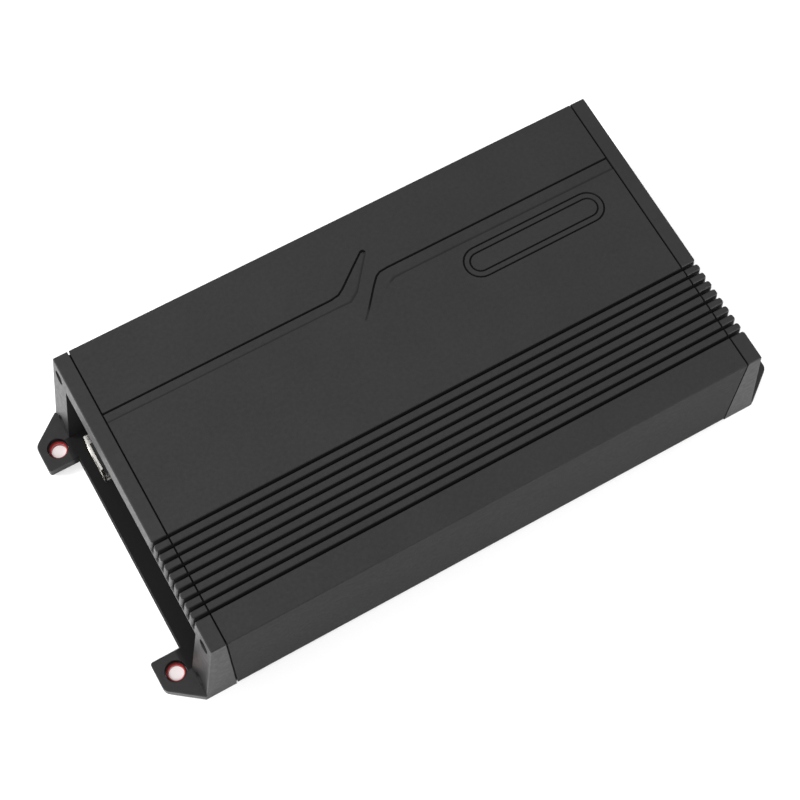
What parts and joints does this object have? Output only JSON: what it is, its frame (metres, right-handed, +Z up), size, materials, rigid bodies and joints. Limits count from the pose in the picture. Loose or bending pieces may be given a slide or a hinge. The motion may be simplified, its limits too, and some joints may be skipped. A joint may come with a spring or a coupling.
{
  "type": "car amplifier",
  "caption": "Compact car audio amplifier with a finned heatsink body between flared end caps, bushed mounting feet, signal jacks and controls at one end and wire terminals at the other.",
  "frame": {"origin": "centre of the footprint, on the plane that the four feet stand on", "axes": "+X along the body towards the power end, +Y towards the plain side away from the fins, +Z up"},
  "size_m": [0.2496, 0.1204, 0.0499],
  "materials": {
    "black_coat": "fine-textured matt black coat on cast and extruded aluminium",
    "black_sheet": "satin black paint on sheet steel",
    "red_bushing": "moulded red plastic",
    "blackened_steel": "black oxide",
    "nickel": "bright nickel plate",
    "black_plastic": "moulded black plastic",
    "knob_plastic": "fine-textured black plastic",
    "lens": "clear blue plastic",
    "board": "green solder mask on glass-fibre laminate",
    "copper": "enamelled copper wire",
    "capacitor_sleeve": "dark blue shrink sleeve"
  },
  "bodies": {
    "amplifier": {"bottom_plate": "black_sheet", "cap_screw_left_back_lower": "blackened_steel", "cap_screw_left_back_upper": "blackened_steel", "cap_screw_left_front_lower": "blackened_steel", "cap_screw_left_front_upper": "blackened_steel", "cap_screw_right_back_lower": "blackened_steel", "cap_screw_right_back_upper": "blackened_steel", "cap_screw_right_front_lower": "blackened_steel", "cap_screw_right_front_upper": "blackened_steel", "circuit_board": "board", "crossover_potentiometer": "black_plastic", "end_cap_left": "black_coat", "end_cap_right": "black_coat", "end_panel_power": "black_sheet", "end_panel_signal": "black_sheet", "foot_bushing_left_back": "red_bushing", "foot_bushing_left_front": "red_bushing", "foot_bushing_right_back": "red_bushing", "foot_bushing_right_front": "red_bushing", "front_gain_potentiometer": "black_plastic", "ground_terminal_clamp": "nickel", "heatsink_shell": "black_coat", "jack_sleeve_front_lower": "nickel", "jack_sleeve_front_upper": "nickel", "jack_sleeve_rear_lower": "nickel", "jack_sleeve_rear_upper": "nickel", "mode_switch_case": "black_plastic", "output_transistor_left": "black_plastic", "output_transistor_right": "black_plastic", "plate_screw_left_back": "blackened_steel", "plate_screw_left_front": "blackened_steel", "plate_screw_right_back": "blackened_steel", "plate_screw_right_front": "blackened_steel", "positive_terminal_clamp": "nickel", "power_indicator_lens": "lens", "power_terminal_block": "black_plastic", "rear_gain_potentiometer": "black_plastic", "remote_port_insert": "black_plastic", "remote_port_shield": "nickel", "remote_terminal_clamp": "nickel", "reservoir_capacitor_1": "capacitor_sleeve", "reservoir_capacitor_2": "capacitor_sleeve", "signal_jack_housing": "black_plastic", "speaker_terminal_block": "black_plastic", "speaker_terminal_clamp_1": "nickel", "speaker_terminal_clamp_2": "nickel", "speaker_terminal_clamp_3": "nickel", "speaker_terminal_clamp_4": "nickel", "toroidal_transformer": "copper", "transistor_clamp_bar": "blackened_steel"},
    "front_gain_control": {"front_gain_knob": "knob_plastic"},
    "rear_gain_control": {"rear_gain_knob": "knob_plastic"},
    "crossover_control": {"crossover_knob": "knob_plastic"},
    "mode_switch": {"mode_switch_slider": "knob_plastic"},
    "positive_screw": {"positive_clamp_screw": "blackened_steel"},
    "remote_screw": {"remote_clamp_screw": "blackened_steel"},
    "ground_screw": {"ground_clamp_screw": "blackened_steel"}
  },
  "joints": [
    {"name": "front_gain_turn", "type": "hinge", "parent": "amplifier", "child": "front_gain_control", "pos_m": [-0.1028, -0.0155, 0.021], "axis": [-1, 0, 0], "range_deg": [-140, 140]},
    {"name": "rear_gain_turn", "type": "hinge", "parent": "amplifier", "child": "rear_gain_control", "pos_m": [-0.1028, -0.005, 0.021], "axis": [-1, 0, 0], "range_deg": [-140, 140]},
    {"name": "crossover_turn", "type": "hinge", "parent": "amplifier", "child": "crossover_control", "pos_m": [-0.1028, 0.0055, 0.021], "axis": [-1, 0, 0], "range_deg": [-140, 140]},
    {"name": "mode_switch_slide", "type": "slide", "parent": "amplifier", "child": "mode_switch", "axis": [0, 1, 0], "range_m": [-0.002, 0.002]},
    {"name": "positive_screw_turn", "type": "hinge", "parent": "amplifier", "child": "positive_screw", "pos_m": [0.1042, 0.017, 0.0312], "axis": [1, 0, 0], "range_deg": [-1080, 0]},
    {"name": "remote_screw_turn", "type": "hinge", "parent": "amplifier", "child": "remote_screw", "pos_m": [0.1042, 0.03, 0.0312], "axis": [1, 0, 0], "range_deg": [-1080, 0]},
    {"name": "ground_screw_turn", "type": "hinge", "parent": "amplifier", "child": "ground_screw", "pos_m": [0.1042, 0.043, 0.0312], "axis": [1, 0, 0], "range_deg": [-1080, 0]}
  ]
}
